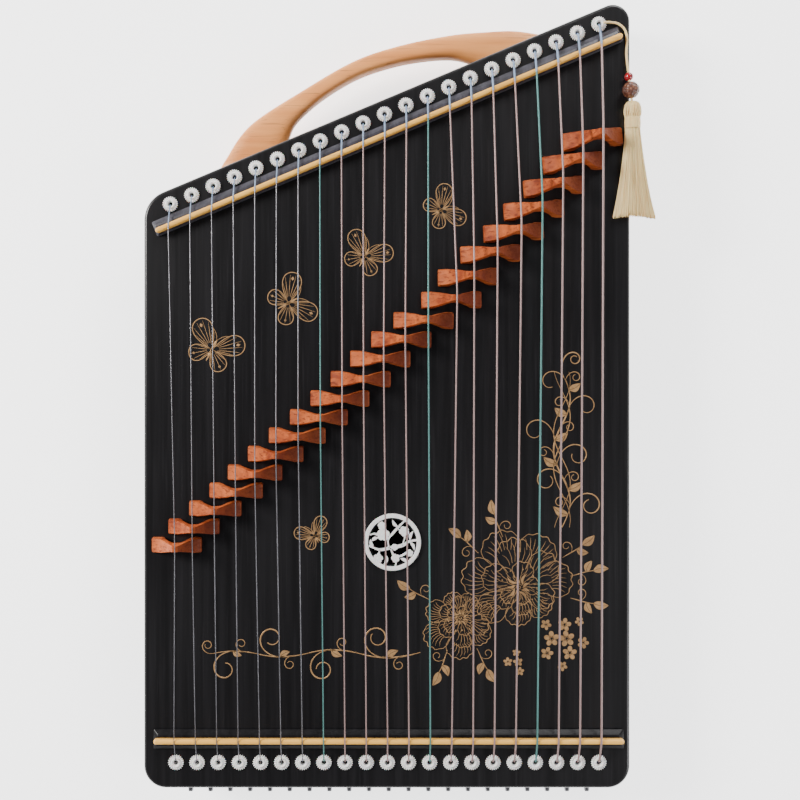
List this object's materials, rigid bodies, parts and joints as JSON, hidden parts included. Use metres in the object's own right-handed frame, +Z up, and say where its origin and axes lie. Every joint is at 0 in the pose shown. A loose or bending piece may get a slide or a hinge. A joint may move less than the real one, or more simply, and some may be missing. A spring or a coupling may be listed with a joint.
{
  "type": "guzheng",
  "caption": "Portable zither: black box with slanted tail, carrying handle, movable arched bridges, tuning pins and a tassel",
  "frame": {"origin": "centre of the base, under the middle of the bounding box", "axes": "+X across the strings from treble to bass, +Y along the strings to the slanted tail, +Z up from the strings' board"},
  "size_m": [0.3686, 0.5764, 0.0795],
  "materials": {
    "lacquer": "satin black lacquer over wood, faint lengthwise grain",
    "raw_wood": "planed, unfinished",
    "bamboo": "polished pale bamboo",
    "beech": "oiled beech, fine grain",
    "rosewood": "oiled reddish rosewood",
    "string_steel": "steel, some wound in coloured nylon",
    "pin_steel": "blued steel with bright head tips",
    "white_plastic": "white moulded plastic",
    "silk": "cream rayon thread",
    "red_glaze": "glossy red glaze",
    "carved_nut": "carved and waxed nut shell"
  },
  "bodies": {
    "case": {"soundboard": "lacquer", "back_board": "lacquer", "pin_block": "lacquer", "tail_block": "lacquer", "side_rail_left": "lacquer", "side_rail_right": "lacquer", "brace": "raw_wood", "rosette": "white_plastic", "front_nut_base": "lacquer", "front_nut_strip": "bamboo", "rear_nut_base": "lacquer", "rear_nut_strip": "bamboo", "handle": "beech", "strings": "string_steel", "tassel_cord": "silk", "bead_red": "red_glaze", "bead_nut": "carved_nut", "tassel": "silk"},
    "bridge_01": {"bridge_01": "rosewood"},
    "bridge_02": {"bridge_02": "rosewood"},
    "bridge_03": {"bridge_03": "rosewood"},
    "bridge_04": {"bridge_04": "rosewood"},
    "bridge_05": {"bridge_05": "rosewood"},
    "bridge_06": {"bridge_06": "rosewood"},
    "bridge_07": {"bridge_07": "rosewood"},
    "bridge_08": {"bridge_08": "rosewood"},
    "bridge_09": {"bridge_09": "rosewood"},
    "bridge_10": {"bridge_10": "rosewood"},
    "bridge_11": {"bridge_11": "rosewood"},
    "bridge_12": {"bridge_12": "rosewood"},
    "bridge_13": {"bridge_13": "rosewood"},
    "bridge_14": {"bridge_14": "rosewood"},
    "bridge_15": {"bridge_15": "rosewood"},
    "bridge_16": {"bridge_16": "rosewood"},
    "bridge_17": {"bridge_17": "rosewood"},
    "bridge_18": {"bridge_18": "rosewood"},
    "bridge_19": {"bridge_19": "rosewood"},
    "bridge_20": {"bridge_20": "rosewood"},
    "bridge_21": {"bridge_21": "rosewood"},
    "pin_01": {"tuning_pin_01": "pin_steel"},
    "pin_02": {"tuning_pin_02": "pin_steel"},
    "pin_03": {"tuning_pin_03": "pin_steel"},
    "pin_04": {"tuning_pin_04": "pin_steel"},
    "pin_05": {"tuning_pin_05": "pin_steel"},
    "pin_06": {"tuning_pin_06": "pin_steel"},
    "pin_07": {"tuning_pin_07": "pin_steel"},
    "pin_08": {"tuning_pin_08": "pin_steel"},
    "pin_09": {"tuning_pin_09": "pin_steel"},
    "pin_10": {"tuning_pin_10": "pin_steel"},
    "pin_11": {"tuning_pin_11": "pin_steel"},
    "pin_12": {"tuning_pin_12": "pin_steel"},
    "pin_13": {"tuning_pin_13": "pin_steel"},
    "pin_14": {"tuning_pin_14": "pin_steel"},
    "pin_15": {"tuning_pin_15": "pin_steel"},
    "pin_16": {"tuning_pin_16": "pin_steel"},
    "pin_17": {"tuning_pin_17": "pin_steel"},
    "pin_18": {"tuning_pin_18": "pin_steel"},
    "pin_19": {"tuning_pin_19": "pin_steel"},
    "pin_20": {"tuning_pin_20": "pin_steel"},
    "pin_21": {"tuning_pin_21": "pin_steel"}
  },
  "joints": [
    {"name": "bridge_slide_01", "type": "slide", "parent": "case", "child": "bridge_01", "axis": [0, 1, 0], "range_m": [-0.0019, 0.0019]},
    {"name": "bridge_slide_02", "type": "slide", "parent": "case", "child": "bridge_02", "axis": [0, 1, 0], "range_m": [-0.0015, 0.0015]},
    {"name": "bridge_slide_03", "type": "slide", "parent": "case", "child": "bridge_03", "axis": [0, 1, 0], "range_m": [-0.0013, 0.0013]},
    {"name": "bridge_slide_04", "type": "slide", "parent": "case", "child": "bridge_04", "axis": [0, 1, 0], "range_m": [-0.0013, 0.0013]},
    {"name": "bridge_slide_05", "type": "slide", "parent": "case", "child": "bridge_05", "axis": [0, 1, 0], "range_m": [-0.0013, 0.0013]},
    {"name": "bridge_slide_06", "type": "slide", "parent": "case", "child": "bridge_06", "axis": [0, 1, 0], "range_m": [-0.0013, 0.0013]},
    {"name": "bridge_slide_07", "type": "slide", "parent": "case", "child": "bridge_07", "axis": [0, 1, 0], "range_m": [-0.0013, 0.0013]},
    {"name": "bridge_slide_08", "type": "slide", "parent": "case", "child": "bridge_08", "axis": [0, 1, 0], "range_m": [-0.0013, 0.0013]},
    {"name": "bridge_slide_09", "type": "slide", "parent": "case", "child": "bridge_09", "axis": [0, 1, 0], "range_m": [-0.0014, 0.0014]},
    {"name": "bridge_slide_10", "type": "slide", "parent": "case", "child": "bridge_10", "axis": [0, 1, 0], "range_m": [-0.0017, 0.0017]},
    {"name": "bridge_slide_11", "type": "slide", "parent": "case", "child": "bridge_11", "axis": [0, 1, 0], "range_m": [-0.0015, 0.0015]},
    {"name": "bridge_slide_12", "type": "slide", "parent": "case", "child": "bridge_12", "axis": [0, 1, 0], "range_m": [-0.0013, 0.0013]},
    {"name": "bridge_slide_13", "type": "slide", "parent": "case", "child": "bridge_13", "axis": [0, 1, 0], "range_m": [-0.0013, 0.0013]},
    {"name": "bridge_slide_14", "type": "slide", "parent": "case", "child": "bridge_14", "axis": [0, 1, 0], "range_m": [-0.0019, 0.0019]},
    {"name": "bridge_slide_15", "type": "slide", "parent": "case", "child": "bridge_15", "axis": [0, 1, 0], "range_m": [-0.0034, 0.0034]},
    {"name": "bridge_slide_16", "type": "slide", "parent": "case", "child": "bridge_16", "axis": [0, 1, 0], "range_m": [-0.0018, 0.0018]},
    {"name": "bridge_slide_17", "type": "slide", "parent": "case", "child": "bridge_17", "axis": [0, 1, 0], "range_m": [-0.0016, 0.0016]},
    {"name": "bridge_slide_18", "type": "slide", "parent": "case", "child": "bridge_18", "axis": [0, 1, 0], "range_m": [-0.002, 0.002]},
    {"name": "bridge_slide_19", "type": "slide", "parent": "case", "child": "bridge_19", "axis": [0, 1, 0], "range_m": [-0.0025, 0.0025]},
    {"name": "bridge_slide_20", "type": "slide", "parent": "case", "child": "bridge_20", "axis": [0, 1, 0], "range_m": [-0.0022, 0.0022]},
    {"name": "bridge_slide_21", "type": "slide", "parent": "case", "child": "bridge_21", "axis": [0, 1, 0], "range_m": [-0.002, 0.002]},
    {"name": "pin_turn_01", "type": "hinge", "parent": "case", "child": "pin_01", "pos_m": [-0.1453, -0.27672, 0.025], "axis": [0, 1, 0], "continuous": true},
    {"name": "pin_turn_02", "type": "hinge", "parent": "case", "child": "pin_02", "pos_m": [-0.13058, -0.27672, 0.025], "axis": [0, 1, 0], "continuous": true},
    {"name": "pin_turn_03", "type": "hinge", "parent": "case", "child": "pin_03", "pos_m": [-0.11586, -0.27672, 0.025], "axis": [0, 1, 0], "continuous": true},
    {"name": "pin_turn_04", "type": "hinge", "parent": "case", "child": "pin_04", "pos_m": [-0.10114, -0.27672, 0.025], "axis": [0, 1, 0], "continuous": true},
    {"name": "pin_turn_05", "type": "hinge", "parent": "case", "child": "pin_05", "pos_m": [-0.08642, -0.27672, 0.025], "axis": [0, 1, 0], "continuous": true},
    {"name": "pin_turn_06", "type": "hinge", "parent": "case", "child": "pin_06", "pos_m": [-0.0717, -0.27672, 0.025], "axis": [0, 1, 0], "continuous": true},
    {"name": "pin_turn_07", "type": "hinge", "parent": "case", "child": "pin_07", "pos_m": [-0.05698, -0.27672, 0.025], "axis": [0, 1, 0], "continuous": true},
    {"name": "pin_turn_08", "type": "hinge", "parent": "case", "child": "pin_08", "pos_m": [-0.04226, -0.27672, 0.025], "axis": [0, 1, 0], "continuous": true},
    {"name": "pin_turn_09", "type": "hinge", "parent": "case", "child": "pin_09", "pos_m": [-0.02754, -0.27672, 0.025], "axis": [0, 1, 0], "continuous": true},
    {"name": "pin_turn_10", "type": "hinge", "parent": "case", "child": "pin_10", "pos_m": [-0.01282, -0.27672, 0.025], "axis": [0, 1, 0], "continuous": true},
    {"name": "pin_turn_11", "type": "hinge", "parent": "case", "child": "pin_11", "pos_m": [0.0019, -0.27672, 0.025], "axis": [0, 1, 0], "continuous": true},
    {"name": "pin_turn_12", "type": "hinge", "parent": "case", "child": "pin_12", "pos_m": [0.01662, -0.27672, 0.025], "axis": [0, 1, 0], "continuous": true},
    {"name": "pin_turn_13", "type": "hinge", "parent": "case", "child": "pin_13", "pos_m": [0.03134, -0.27672, 0.025], "axis": [0, 1, 0], "continuous": true},
    {"name": "pin_turn_14", "type": "hinge", "parent": "case", "child": "pin_14", "pos_m": [0.04606, -0.27672, 0.025], "axis": [0, 1, 0], "continuous": true},
    {"name": "pin_turn_15", "type": "hinge", "parent": "case", "child": "pin_15", "pos_m": [0.06078, -0.27672, 0.025], "axis": [0, 1, 0], "continuous": true},
    {"name": "pin_turn_16", "type": "hinge", "parent": "case", "child": "pin_16", "pos_m": [0.0755, -0.27672, 0.025], "axis": [0, 1, 0], "continuous": true},
    {"name": "pin_turn_17", "type": "hinge", "parent": "case", "child": "pin_17", "pos_m": [0.09022, -0.27672, 0.025], "axis": [0, 1, 0], "continuous": true},
    {"name": "pin_turn_18", "type": "hinge", "parent": "case", "child": "pin_18", "pos_m": [0.10494, -0.27672, 0.025], "axis": [0, 1, 0], "continuous": true},
    {"name": "pin_turn_19", "type": "hinge", "parent": "case", "child": "pin_19", "pos_m": [0.11966, -0.27672, 0.025], "axis": [0, 1, 0], "continuous": true},
    {"name": "pin_turn_20", "type": "hinge", "parent": "case", "child": "pin_20", "pos_m": [0.13438, -0.27672, 0.025], "axis": [0, 1, 0], "continuous": true},
    {"name": "pin_turn_21", "type": "hinge", "parent": "case", "child": "pin_21", "pos_m": [0.1491, -0.27672, 0.025], "axis": [0, 1, 0], "continuous": true}
  ]
}
